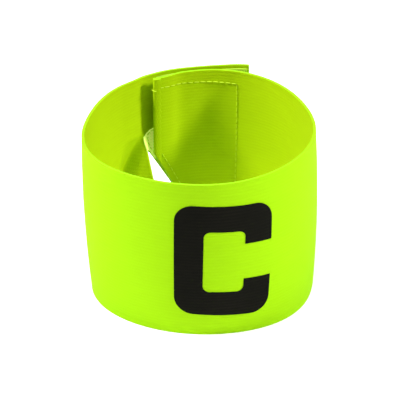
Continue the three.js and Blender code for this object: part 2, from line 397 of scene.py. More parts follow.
    def axes(self, along: np.ndarray, up: np.ndarray) -> np.ndarray:
        """The directions along, up and out at places on the strip, as the rows of one matrix each."""
        run = self.run(along, up)
        zero = np.zeros(len(run))
        forward = np.stack([run[:, 0], run[:, 1], zero], axis=-1)
        upward = np.stack([zero, zero, zero + 1], axis=-1)
        outward = np.stack([-run[:, 1], run[:, 0], zero], axis=-1)
        return np.stack([forward, upward, outward], axis=1)

    def corner_edge(self, along: float) -> float:
        """How high the inner end's missing corner reaches."""
        return self.corner_rise * max(0.0, 1 - along / self.corner_run)

    def lifted_edge(self, along: float) -> float:
        """How high the lifted edge is."""
        share = (along - self.tuck_at) / self.tuck_span
        table = np.array([(row.along, row.up) for row in LIFTED_EDGE])
        return self.tuck_rise * float(np.interp(share, table[:, 0], table[:, 1], left=0, right=0))


Colour = tuple[float, float, float]
Socket = bpy.types.NodeSocket


class Graph:
    """A material's nodes, with a short call for each kind that the finishes share."""

    def __init__(self, name: str, roughness: float, specular: float = 0.2) -> None:
        """Starts a material.

        Args:
            name: The material's name.
            roughness: Its roughness, where nothing else is linked to it.
            specular: Its specular level.
        """
        self.material = bpy.data.materials.new(name)
        self.material.use_nodes = True
        self.nodes = self.material.node_tree.nodes
        self.links = self.material.node_tree.links
        self.shader = self.nodes["Principled BSDF"]
        self.dress("Roughness", roughness)
        self.dress("Specular IOR Level", specular)

    def put(self, socket: Socket, value: Socket | float | Colour) -> None:
        """Links a socket, or writes a number or a colour on it."""
        if isinstance(value, Socket):
            self.links.new(value, socket)
        elif isinstance(value, tuple):
            socket.default_value = (*value, 1.0)
        else:
            socket.default_value = value

    def math(self, operation: str, first: Socket | float, second: Socket | float = 0.0) -> Socket:
        """One step of arithmetic."""
        node = self.nodes.new("ShaderNodeMath")
        node.operation = operation
        self.put(node.inputs[0], first)
        self.put(node.inputs[1], second)
        return node.outputs[0]

    def times(self, first: Socket | float, second: Socket | float) -> Socket:
        """One value times another."""
        return self.math("MULTIPLY", first, second)

    def plus(self, first: Socket | float, second: Socket | float) -> Socket:
        """One value and another, added up."""
        return self.math("ADD", first, second)

    def dress(self, name: str, value: Socket | float | Colour) -> None:
        """Links or writes one of the shader's own sockets, by its name."""
        self.put(self.shader.inputs[name], value)

    def cloth(self) -> tuple[Socket, Socket]:
        """The flat place of the cloth: along the strip, and up from the foot."""
        uv = self.nodes.new("ShaderNodeUVMap")
        uv.uv_map = CLOTH_MAP
        split = self.nodes.new("ShaderNodeSeparateXYZ")
        self.links.new(uv.outputs[0], split.inputs[0])
        return split.outputs[0], split.outputs[1]

    def wave(self, place: Socket, pitch: float, phase: Socket | float = 0.0) -> Socket:
        """A wave from 0, at multiples of the pitch, to 1 halfway between."""
        angle = self.plus(self.times(place, 2 * math.pi / pitch), phase)
        return self.times(self.math("SUBTRACT", 1.0, self.math("COSINE", angle)), 0.5)

    def noise(self, scale: float, detail: float = 2.0, place: tuple[Socket, Socket] | None = None) -> Socket:
        """Noise from 0 to 1.

        Args:
            scale: How fine it is, in features a metre.
            detail: How many finer layers it has.
            place: Two stretched coordinates that it follows, or None for Object coordinates.

        Returns:
            The noise's value.
        """
        node = self.nodes.new("ShaderNodeTexNoise")
        node.inputs["Scale"].default_value = scale
        node.inputs["Detail"].default_value = detail
        if place is None:
            where = self.nodes.new("ShaderNodeTexCoord").outputs["Object"]
        else:
            joined = self.nodes.new("ShaderNodeCombineXYZ")
            self.put(joined.inputs[0], place[0])
            self.put(joined.inputs[1], place[1])
            where = joined.outputs[0]
        self.links.new(where, node.inputs["Vector"])
        return node.outputs[0]

    def mix(self, share: Socket | float, first: Socket | Colour, second: Socket | Colour) -> Socket:
        """A colour between two others."""
        node = self.nodes.new("ShaderNodeMix")
        node.data_type = "RGBA"
        self.put(node.inputs[0], share)
        self.put(node.inputs[6], first)
        self.put(node.inputs[7], second)
        return node.outputs[2]

    def spread(self, value: Socket, low: float, high: float) -> Socket:
        """Brings a value from 0 to 1 into a narrower span."""
        return self.plus(self.times(value, high - low), low)

    def bump(self, height: Socket, depth: float) -> None:
        """Raises the surface's fine relief."""
        node = self.nodes.new("ShaderNodeBump")
        node.inputs["Distance"].default_value = depth
        self.links.new(height, node.inputs["Height"])
        self.links.new(node.outputs[0], self.shader.inputs["Normal"])

    def sheen(self, weight: float, roughness: float, tint: Colour) -> None:
        """Gives the surface the sheen of fine fibres."""
        self.dress("Sheen Weight", weight)
        self.dress("Sheen Roughness", roughness)
        self.dress("Sheen Tint", tint)


@dataclass(frozen=True)
class ElasticWeave:
    """Woven elastic: lengthwise cords under fine yarns that cross them, brightly dyed.

    Attributes:
        pitch: From one cord to the next.
        yarn_pitch: From one crossing yarn to the next.
        mottle: How uneven the dye is.
    """

    name: str
    crest: Colour
    # valley: darker than the crest, painted shade and dust between the cords
    valley: Colour
    pitch: float = 1.3 * MM
    yarn_pitch: float = 0.45 * MM
    relief: float = 0.05 * MM
    mottle: float = 0.1

    def material(self) -> bpy.types.Material:
        """Builds the weave, its uneven dye, the darker valleys between the cords (painted shade and dust)
        and its stray fibres.
        """
        graph = Graph(self.name, 0.85, 0.08)
        along, up = graph.cloth()
        rib = graph.wave(up, self.pitch)
        shift = graph.times(graph.math("FLOOR", graph.math("DIVIDE", up, self.pitch)), math.pi)
        yarn = graph.wave(along, self.yarn_pitch, shift)
        fibre = graph.noise(900, 3, (graph.times(along, 4.0), up))
        patch = graph.noise(45, 3)
        slub = graph.noise(60, 2, (along, graph.times(up, 12.0)))
        # Painted shade and dust: the colour darkens from the crest colour to the valley colour between the
        # cords.
        valley_shade_and_dust = graph.mix(graph.math("POWER", rib, 0.6), self.valley, self.crest)
        deep = tuple(part * (1 - 2 * self.mottle) for part in self.crest)
        shade = graph.times(graph.plus(graph.times(patch, 0.6), slub), 0.6)
        uneven = graph.mix(graph.times(shade, graph.spread(fibre, 0.2, 0.8)), valley_shade_and_dust, deep)
        graph.dress("Base Color", uneven)
        graph.dress("Roughness", graph.spread(fibre, 0.75, 0.95))
        height = graph.plus(graph.times(yarn, rib), graph.times(fibre, 0.8))
        graph.bump(height, self.relief)
        graph.sheen(0.08, 0.5, self.crest)
        return graph.material


@dataclass(frozen=True)
class TapeYarn:
    """Yarn or nylon of the closure tapes: a fine woven ground, a little uneven.

    Attributes:
        light: The colour of most of it.
        dark: The colour deep between the threads.
        grain: How fine the ground is, in features a metre.
    """

    name: str
    light: Colour
    dark: Colour
    roughness: float
    sheen: float
    grain: float = 1400.0
    relief: float = 0.04 * MM

    def woven(self) -> Graph:
        """Builds the ground's nodes."""
        graph = Graph(self.name, self.roughness, 0.35)
        grain = graph.noise(self.grain, 2)
        patch = graph.noise(self.grain / 12, 2)
        share = graph.times(graph.plus(grain, patch), 0.5)
        graph.dress("Base Color", graph.mix(share, self.light, self.dark))
        graph.dress("Roughness", graph.spread(grain, self.roughness * 0.85, min(1.0, self.roughness * 1.15)))
        graph.bump(grain, self.relief)
        graph.sheen(self.sheen, 0.4, self.light)
        return graph

    def material(self) -> bpy.types.Material:
        """Builds the yarn."""
        return self.woven().material


@dataclass(frozen=True)
class LitBorderYarn(TapeYarn):
    """Yarn of a tape whose starting border is paler and glows a little: partly the tape's paler woven edge,
    mostly painted light that brightens the border where it lies in shade.

    Attributes:
        lit_border_end: Where the border ends along the strip.
        fade: Over what length it fades.
    """

    border: Colour = (1.0, 1.0, 1.0)
    lit_border_end: float = 0.0
    fade: float = 1 * MM
    glow: float = 0.0

    def material(self) -> bpy.types.Material:
        """Builds the yarn with its border: a paler colour and a glow, painted light."""
        graph = self.woven()
        along, _ = graph.cloth()
        # Painted light: towards the tape's start the colour turns to the pale border colour and glows,
        # lighting the border where it lies in shade.
        share = graph.math("DIVIDE", graph.math("SUBTRACT", self.lit_border_end, along), self.fade)
        share = graph.math("MINIMUM", graph.math("MAXIMUM", share, 0.0), 1.0)
        colour = graph.shader.inputs["Base Color"]
        graph.put(colour, graph.mix(share, colour.links[0].from_socket, self.border))
        graph.dress("Emission Color", self.border)
        graph.dress("Emission Strength", graph.times(share, self.glow))
        return graph.material


@dataclass(frozen=True)
class PressedFilm:
    """Matt black film: the ribs show through, with dust and fine scuffs from handling."""

    name: str = "film_black"
    black: Colour = (0.0045, 0.0048, 0.0032)
    scuffed: Colour = (0.012, 0.011, 0.008)
    pitch: float = 1.3 * MM
    relief: float = 0.04 * MM

    def material(self) -> bpy.types.Material:
        """Builds the film."""
        graph = Graph(self.name, 0.8, 0.03)
        along, up = graph.cloth()
        rib = graph.wave(up, self.pitch)
        patch = graph.noise(60, 3)
        scuff = graph.noise(300, 4, (graph.times(along, 0.6), graph.times(up, 3.0)))
        worn = graph.times(graph.times(patch, scuff), graph.spread(rib, 0.6, 1.6))
        graph.dress("Base Color", graph.mix(worn, self.black, self.scuffed))
        graph.dress("Roughness", graph.spread(scuff, 0.7, 0.95))
        graph.bump(graph.plus(graph.times(rib, 0.6), graph.noise(2500, 2)), self.relief)
        return graph.material


@dataclass(frozen=True)
class FloorPaper:
    """The plain white paper of the floor, with the faintest tooth, lit a little from below."""

    name: str = "floor_paper"
    white: Colour = (0.95, 0.95, 0.95)
    shade: Colour = (0.93, 0.93, 0.93)
    glow: float = 0.2

    def material(self) -> bpy.types.Material:
        """Builds the paper."""
        graph = Graph(self.name, 0.95, 0.0)
        tooth = graph.noise(800, 2)
        graph.dress("Base Color", graph.mix(tooth, self.white, self.shade))
        graph.dress("Emission Color", self.white)
        graph.dress("Emission Strength", self.glow)
        return graph.material


@dataclass(frozen=True)
class Line:
    """A line of cloth from its foot to its head, in the flat layout.

    Attributes:
        foot: Place along the strip and height of the lower end.
        head: Place along the strip of the upper end.
        out: Distance of the ply's middle from the elastic's middle.
        cloth: Length of cloth from the start of the sheet, for the weave.
    """

    foot: tuple[float, float]
    head: float
    out: float
    cloth: float


def take_up(piece: bpy.types.Object) -> None:
    """Makes one piece the only selected one, and the active one."""
    bpy.ops.object.select_all(action="DESELECT")
    piece.select_set(True)
    bpy.context.view_layer.objects.active = piece


@contextmanager
def editing(piece: bpy.types.Object, select: str = "") -> Iterator[None]:
    """Opens a piece in edit mode and closes it again, first selecting or deselecting all of it if asked."""
    take_up(piece)
    bpy.ops.object.mode_set(mode="EDIT")
    if select:
        bpy.ops.mesh.select_all(action=select)
    yield
    bpy.ops.object.mode_set(mode="OBJECT")


def settle(piece: bpy.types.Object) -> bpy.types.Object:
    """Writes the active piece's place, turn and size into its mesh, and returns it."""
    bpy.ops.object.transform_apply(location=True, rotation=True, scale=True)
    return piece


def work(piece: bpy.types.Object, kind: str, **settings: object) -> None:
    """Gives a piece a modifier and applies it.

    Args:
        piece: What it works on.
        kind: Blender's name of the modifier.
        settings: The modifier's settings by name.
    """
    take_up(piece)
    bpy.ops.object.modifier_add(type=kind)
    modifier = piece.modifiers[-1]
    for name, value in settings.items():
        setattr(modifier, name, value)
    bpy.ops.object.modifier_apply(modifier=modifier.name)


def round_edges(piece: bpy.types.Object, width: float, **settings: object) -> None:
    """Rounds a piece's sharp edges, with the bevel's further settings by name."""
    limit = {"limit_method": "ANGLE", "angle_limit": SHARP_EDGE}
    work(piece, "BEVEL", width=width, segments=2, **limit, **settings)


def smooth(piece: bpy.types.Object) -> bpy.types.Object:
    """Shades a piece smooth, up to its sharp edges, and returns it."""
    take_up(piece)
    bpy.ops.object.shade_smooth_by_angle(angle=SHARP_EDGE)
    return piece


def new_piece(name: str, points: np.ndarray, faces: list[tuple[int, ...]]) -> bpy.types.Object:
    """Makes a mesh object at the origin from its points and faces."""
    mesh = bpy.data.meshes.new(name)
    mesh.from_pydata(points.tolist(), [], faces)
    piece = bpy.data.objects.new(name, mesh)
    bpy.context.scene.collection.objects.link(piece)
    return piece


def map_cloth(piece: bpy.types.Object, places: np.ndarray) -> None:
    """Writes the flat place of each point to the cloth map, for the weave to follow."""
    layer = piece.data.uv_layers.new(name=CLOTH_MAP)
    corners = np.zeros(len(piece.data.loops), dtype=np.int32)
    piece.data.loops.foreach_get("vertex_index", corners)
    layer.data.foreach_set("uv", places[corners].ravel())


@dataclass(frozen=True)
class Sheet:
    """A ply of cloth on the strip: an open grid whose rows keep their height, cut along its foot.

    Attributes:
        lines: The lines of cloth, in order.
        rows: The heights of the grid's rows.
        shoulder: Heights between which the lines step from their foot's place to their head's.
        snap: How much of a row's height a foot may lie below it and still take its place.
    """

    name: str
    strip: Strip
    lines: list[Line]
    rows: np.ndarray
    shoulder: tuple[float, float] | None = None
    snap: float = 0.45

    def build(self) -> bpy.types.Object:
        """Lays the grid out, wraps it and returns the open sheet, its faces pointing out."""
        step = self.rows[1] - self.rows[0]
        flat, faces, starts, firsts = [], [], [], []
        for line in self.lines:
            low, top = line.foot[1], self.rows[-1]
            rise = (low - self.rows[0]) / step
            first = int(np.clip(math.floor(rise + self.snap), 0, len(self.rows) - 2))
            ups = self.rows[first:].copy()
            ups[0] = max(low, self.rows[0])
            if self.shoulder:
                share = smooth_step(ups, *self.shoulder)
            else:
                share = (ups - ups[0]) / (top - ups[0])
            along = line.foot[0] + (line.head - line.foot[0]) * share
            starts.append(sum(len(part) for part in flat) - first)
            firsts.append(first)
            level = np.ones_like(ups)
            flat.append(np.stack([along, line.out * level, ups, line.cloth * level], axis=-1))
        for i in range(len(self.lines) - 1):
            faces += self.strip_faces(starts[i], firsts[i], starts[i + 1], firsts[i + 1])
        along, out, up, cloth = np.concatenate(flat).T
        piece = new_piece(self.name, self.strip.wrap(along, out, up), faces)
        leaning = along - np.repeat([line.foot[0] for line in self.lines], [len(part) for part in flat])
        map_cloth(piece, np.stack([cloth + leaning, up], axis=-1))
        return piece

    def strip_faces(self, left: int, left_first: int, right: int, right_first: int) -> list[tuple[int, ...]]:
        """The faces between two neighbouring lines, with a fan where one of them starts higher.

        Args:
            left: Where row 0 of the left line would be in the list of points.
            left_first: The left line's first row.
            right: Where row 0 of the right line would be.
            right_first: The right line's first row.

        Returns:
            Faces that point outwards.
        """
        both = max(left_first, right_first)
        faces = [(left + k, left + k + 1, right + both) for k in range(left_first, both)]
        faces += [(left + both, right + k + 1, right + k) for k in range(right_first, both)]
        faces += [
            (left + k, left + k + 1, right + k + 1, right + k) for k in range(both, len(self.rows) - 1)
        ]
        return faces


@dataclass
class Elastic:
    """The elastic strip: ribbed on both faces, with rounded selvedges and a turned hem.

    Attributes:
        ribs: How many covered rubber cords lie side by side.
        rows_per_rib: How finely each of them is modelled.
        bead_thick: Thickness of the selvedge bead, the thickest place.
        crest_share: Thickness over a cord, as a share of the bead.
        valley_share: Thickness between two cords, as a share of the bead.
        fold_radius: Radius of the hem's fold, at the middle of the ply.
        closure_step: Their spacing at the closure.
        tuck_step: Their spacing at the tuck and the hem.
        edge_step: How much the lifted edge rises from one line to the next.
        closure_reach: Where the closure's finer lines end, in lengths of the missing corner.
    """

    strip: Strip
    ribs: int = 50
    rows_per_rib: int = 4
    bead_thick: float = 0.98 * MM
    crest_share: float = 0.96
    valley_share: float = 0.93
    hem_width: float = 3 * MM
    fold_radius: float = 0.51 * MM
    edge_round: float = 0.3 * MM
    # The second colour of each weave, for the valleys between the cords, is darker: painted shade and dust.
    outer_weave: ElasticWeave = ElasticWeave("elastic_outer", (0.335, 0.665, 0.002), (0.32, 0.64, 0.001))
    # The inner face has its own yellower colour, fitted to how the neon looks in the shade inside the loop:
    # painted shade.
    inner_weave: ElasticWeave = ElasticWeave("elastic_inner", (0.445, 0.63, 0.001), (0.42, 0.595, 0.001))
    selvedge: ElasticWeave = ElasticWeave("elastic_selvedge", (0.30, 0.67, 0.008), (0.285, 0.64, 0.008))
    plain_step: float = 2.4 * MM
    closure_step: float = 1.25 * MM
    tuck_step: float = 0.8 * MM
    edge_step: float = 2.2 * MM
    fold_steps: int = 6
    closure_reach: float = 2.5

    @property
    def pitch(self) -> float:
        """From one rib to the next."""
        return self.strip.width / self.ribs

    @property
    def cut_area(self) -> float:
        """The flat area of the strip, less its missing corner and the piece cut for the lifted edge."""
        strip = self.strip
        whole = strip.width * (strip.length + self.hem_width)
        corner = strip.corner_rise * strip.corner_run / 2
        lifted = strip.tuck_rise * strip.tuck_span / 2
        return whole - corner - lifted

    def half_thick(self, up: np.ndarray) -> np.ndarray:
        """Half the elastic's thickness at a height, from rib crest to valley and back."""
        crest = 0.5 - 0.5 * np.cos(2 * np.pi * up / self.pitch)
        share = self.valley_share + (self.crest_share - self.valley_share) * crest
        margin = np.minimum(up, self.strip.width - up) / self.pitch
        share = np.where(margin < 0.5, 1.0, share)
        return share * self.bead_thick / 2

    def hem_lines(self) -> list[Line]:
        """The turned hem: its flap inside, and the fold at the inner end."""
        strip, radius = self.strip, self.fold_radius
        centre = radius + self.bead_thick / 2
        lines, cloth = [], -self.hem_width
        for along in evenly(self.hem_width, centre, self.tuck_step)[:-1]:
            lines.append(Line((along, strip.corner_edge(along)), along, -2 * radius, cloth))
            cloth += self.tuck_step
        for angle in np.linspace(0, math.pi, self.fold_steps + 1)[:-1]:
            along = centre - radius * math.sin(angle)
            out = -radius - radius * math.cos(angle)
            lines.append(Line((along, strip.corner_edge(along)), along, out, radius * (angle - math.pi)))
        return lines

    def wall_lines(self) -> list[Line]:
        """The strip's wall from the hem's fold, past the missing corner, to the tuck."""
        strip = self.strip
        centre = self.fold_radius + self.bead_thick / 2
        tuck_start = strip.tuck_at - strip.tuck_width - self.closure_step
        lift_start = strip.tuck_at + LIFTED_EDGE[0].rim * strip.tuck_span
        closure_end = strip.corner_run * self.closure_reach
        places = [
            *evenly(centre, strip.corner_run, self.closure_step),
            *evenly(strip.corner_run, closure_end, self.closure_step)[1:],
            *evenly(closure_end, tuck_start, self.plain_step)[1:],
        ]
        lines = [Line((along, strip.corner_edge(along)), along, 0, along) for along in places]
        for along in evenly(tuck_start, strip.tuck_at, self.tuck_step)[1:-1]:
            share = (along - tuck_start) / (strip.tuck_at - tuck_start)
            lines.append(Line((along, 0), tuck_start + (lift_start - tuck_start) * share, 0, along))
        return lines

    def lifted_lines(self) -> list[Line]:
        """The strip beside the tuck, where its lower edge is lifted."""
        strip = self.strip
        table = np.array([(row.along, row.up, row.rim) for row in LIFTED_EDGE])
        sizes = np.array([strip.tuck_span, strip.tuck_rise, strip.tuck_span])
        steps = np.array([self.tuck_step, self.edge_step, self.closure_step])
        counts = np.ceil(np.max(np.abs(np.diff(table, axis=0)) * sizes / steps, axis=1)).astype(int)
        places = np.concatenate([i + np.arange(n) / n for i, n in enumerate(counts)] + [[len(table) - 1.0]])
        rows = np.arange(len(table), dtype=float)
        along, up, rim = (smooth_through(rows, column, places) for column in table.T)
        edge = strip.tuck_at + along * strip.tuck_span
        head = strip.tuck_at + rim * strip.tuck_span
        lift = np.clip(up, 0, None) * strip.tuck_rise
        return [Line((edge[i], lift[i]), head[i], 0, edge[i]) for i in range(len(places))]

    def end_lines(self) -> list[Line]:
        """The rest of the strip, to the outer end."""
        strip = self.strip
        places = evenly(strip.tuck_at + strip.tuck_span, strip.length, self.closure_step)[1:]
        return [Line((along, 0), along, 0, along) for along in places]

    def build(self) -> bpy.types.Object:
        """Models the elastic: the open sheet first, then its two ribbed faces and its rounded edges."""
        finishes = (self.outer_weave, self.inner_weave, self.selvedge)
        rows = np.linspace(0, self.strip.width, self.ribs * self.rows_per_rib + 1)
        lines = self.hem_lines() + self.wall_lines() + self.lifted_lines() + self.end_lines()
        piece = Sheet("elastic_band", self.strip, lines, rows).build()
        group = piece.vertex_groups.new(name="ribs")
        heights = np.array([vertex.co.z for vertex in piece.data.vertices])
        shares = 2 * self.half_thick(heights) / self.bead_thick
        for index, share in enumerate(shares):
            group.add([index], float(share), "REPLACE")
        for finish in finishes:
            piece.data.materials.append(finish.material())
        work(
            piece,
            "SOLIDIFY",
            thickness=self.bead_thick,
            offset=0,
            vertex_group="ribs",
            material_offset=Weave.INNER,
            material_offset_rim=Weave.SELVEDGE,
        )
        round_edges(piece, self.edge_round, material=Weave.SELVEDGE)
        for vertex in piece.data.vertices:
            vertex.co.z = max(vertex.co.z, 0.0)
        cloth = piece.data.uv_layers[CLOTH_MAP].data
        for face in piece.data.polygons:
            if face.material_index == Weave.OUTER and cloth[face.loop_start].uv.x < 0:
                face.material_index = Weave.INNER
        return smooth(piece)


@dataclass(frozen=True)
class Swarm:
    """Many copies of one small shape, joined into a single mesh that stands on the strip.

    Attributes:
        out: Height of their root above the elastic's middle.
    """

    name: str
    strip: Strip
    out: float

    def build(
        self, shape: bpy.types.Object, places: np.ndarray, yaws: np.ndarray, sizes: np.ndarray
    ) -> bpy.types.Object:
        """Copies a shape to places on the strip and removes it.

        Args:
            shape: The modelled shape: x along, y up, z away from the cloth.
            places: A row of along and up for each copy.
            yaws: How far each copy turns about its own axis, in radians.
            sizes: Each copy's size, as a share of the shape's.

        Returns:
            The joined piece.
        """
        corners = np.array([vertex.co for vertex in shape.data.vertices])
        faces = [tuple(face.vertices) for face in shape.data.polygons]
        bpy.data.objects.remove(shape)
        along, up = places.T
        sign = math.copysign(1, self.out)
        root = self.strip.wrap(along, np.full_like(along, self.out), up)
        axes = self.strip.axes(along, up)
        cos, sin = np.cos(yaws)[:, None], np.sin(yaws)[:, None]
        forward = axes[:, 0] * cos * sign + axes[:, 1] * sin
        sideways = axes[:, 1] * cos - axes[:, 0] * sin * sign
        frames = np.stack([forward, sideways, axes[:, 2] * sign], axis=1) * sizes[:, None, None]
        points = root[:, None, :] + np.einsum("vi,nij->nvj", corners, frames)
        count = len(corners)
        starts = range(0, count * len(places), count)
        joined = [tuple(corner + start for corner in face) for start in starts for face in faces]
        piece = new_piece(self.name, points.reshape(-1, 3), joined)
        take_up(piece)
        bpy.ops.object.shade_smooth()
        return piece


def half_ring(radius: float, wire: float, steps: int, sides: int, turn: float = 0.0) -> bpy.types.Object:
    """Models an upright arch of round wire: a ring, cut level just below its middle, with closed ends.

    Args:
        radius: Radius of the ring, at the middle of the wire.
        wire: Radius of the wire.
        steps: How many steps go round the whole ring.
        sides: How many sides the wire has.
        turn: How far the arch turns about its own axis, in radians.

    Returns:
        The arch, at the origin.
    """
    bpy.ops.object.select_all(action="DESELECT")
    bpy.ops.mesh.primitive_torus_add(
        major_segments=steps,
        minor_segments=sides,
        major_radius=radius,
        minor_radius=wire,
        rotation=(math.pi / 2, 0, turn),
    )
    arch = settle(bpy.context.object)
    with editing(arch, "SELECT"):
        bpy.ops.mesh.bisect(plane_co=(0, 0, -wire), plane_no=(0, 0, 1), use_fill=True, clear_inner=True)
    return arch


def select_points(piece: bpy.types.Object, test: Callable[[Vector], bool]) -> None:
    """Selects, for edit mode's vertex mode, the points that pass a test.

    Args:
        piece: The mesh object.
        test: A function of a point's place that says whether it is selected.
    """
    with editing(piece, "DESELECT"):
        bpy.ops.mesh.select_mode(type="VERT")
    for vertex in piece.data.vertices:
        vertex.select = bool(test(vertex.co))


@dataclass
class Tape:
    """One half of the closure: a woven backing on one face of the elastic, cut to follow its edges.

    Attributes:
        side: The face of the elastic that it is sewn to.
        margin: How far its upper and lower edges stay back from the elastic's.
        setback: How far its starting edge steps back towards the other end, above the shoulder.
        toe: How far its starting edge reaches forward, below the shoulder.
        shoulder: The heights between which it steps back.
        gap: From the elastic's face to the backing.
        area_step: Side of the squares that its flat area is counted in.
    """

    name: str
    strip: Strip
    side: Side
    start: float
    length: float
    margin: float
    setback: float = 0.0
    toe: float = 0.0
    shoulder: tuple[float, float] = (39 * MM, 42 * MM)
    gap: float = 0.1 * MM
    backing: float = 0.4 * MM
    step: float = 0.5 * MM
    row_step: float = 0.8 * MM
    area_step: float = 0.25 * MM

    def edge(self, along: float) -> float:
        """The height of the tape's lower edge at a place along the strip."""
        cut = max(self.strip.corner_edge(along), self.strip.lifted_edge(along))
        return max(self.margin, cut + self.strip.tape_inset if cut > 0 else 0)

    def place(self, along: float, up: float) -> float:
        """Where a line of the tape lies at a height: its steps grow smaller towards the far end."""
        step = (self.setback + self.toe) * float(smooth_step(up, *self.shoulder)) - self.toe
        return along + step * (1 - (along - self.start) / self.length)

    @property
    def face(self) -> float:
        """Distance of the backing's outer face from the elastic's middle, with its sign."""
        return self.side.value * (self.strip.thick / 2 + self.gap + self.backing)

    @property
    def cut_area(self) -> float:
        """The flat area of the backing, inside its starting edge and its cut lower edge."""
        step, top = self.area_step, self.strip.width - self.margin
        cells = sum(
            up > self.edge(along) and along > self.place(self.start, up)
            for along in np.arange(self.start - self.toe, self.start + self.length, step) + step / 2
            for up in np.arange(self.margin, top, step) + step / 2
        )
        return float(cells) * step**2

    def build_backing(self) -> bpy.types.Object:
        """Models the woven backing."""
        out = self.face - self.side.value * self.backing / 2
        lines = []
        for along in evenly(self.start, self.start + self.length, self.step):
            foot, head = self.place(along, 0), self.place(along, self.strip.width)
            lines.append(Line((foot, self.edge(foot)), head, out, along))
        rows = evenly(self.margin, self.strip.width - self.margin, self.row_step)
        piece = Sheet(self.name, self.strip, lines, rows, self.shoulder).build()
        work(piece, "SOLIDIFY", thickness=self.backing, offset=0)
        round_edges(piece, self.backing / 3)
        return smooth(piece)

    def grid(self, along_step: float, up_step: float, inset: float) -> np.ndarray:
        """Places over the tape's face in straight rows, inside its edges."""
        top = self.strip.width - self.margin
        places = [
            (self.place(along, up), up)
            for along in evenly(self.start + inset, self.start + self.length - inset, along_step)
            for up in evenly(self.margin + inset, top - inset, up_step)
            if up > self.edge(self.place(along, up)) + inset
        ]
        return np.array(places)


@dataclass
class LoopTape(Tape):
    """The soft half: its face is covered with small arched loops of yarn.

    Attributes:
        jitter: How far a loop may stand from its place, as a share of the spacing.
        smallest: Size of the smallest loop, as a share of the modelled one.
        largest: Size of the largest.
    """

    spacing: float = 1.15 * MM
    jitter: float = 0.35
    smallest: float = 0.85
    largest: float = 1.35
    loop_radius: float = 0.34 * MM
    yarn: float = 0.07 * MM

    def build_nap(self, seed: int = 7) -> bpy.types.Object:
        """Models the nap: one arched loop, copied over the face with a random turn, place and size."""
        arch = half_ring(self.loop_radius, self.yarn, steps=10, sides=3)
        random = np.random.default_rng(seed)
        places = self.grid(self.spacing, self.spacing, self.spacing / 2)
        places = places + random.uniform(-self.jitter, self.jitter, places.shape) * self.spacing
        yaws = random.uniform(0, math.pi, len(places))
        sizes = random.uniform(self.smallest, self.largest, len(places))
        return Swarm("loop_tape_nap", self.strip, self.face).build(arch, places, yaws, sizes)


@dataclass
class HookTape(Tape):
    """The stiff half: its face is covered with straight columns of small hooks.

    Attributes:
        toe_place: From the tuck's crease to where the lower edge is read for all that lies before it.
    """

    column_step: float = 1.15 * MM
    row_pitch: float = 1.3 * MM
    hook_radius: float = 0.26 * MM
    wire: float = 0.09 * MM
    toe_place: float = 1 * MM

    def edge(self, along: float) -> float:
        """The height of the tape's lower edge, which stays above the notch on both sides of the crease."""
        return super().edge(max(along, self.strip.tuck_at + self.toe_place))

    def build_hooks(self) -> bpy.types.Object:
        """Models the hooks: one crook, cut short on one side, copied in columns that face both ways."""
        crook = half_ring(self.hook_radius, self.wire, steps=10, sides=4, turn=math.pi / 2)
        places = self.grid(self.column_step, self.row_pitch, self.column_step)
        column = np.round((places[:, 0] - self.start) / self.column_step).astype(int)
        yaws = np.where(column % 2 == 0, 0, math.pi)
        sizes = np.ones(len(places))
        return Swarm("hook_tape_hooks", self.strip, self.face).build(crook, places, yaws, sizes)


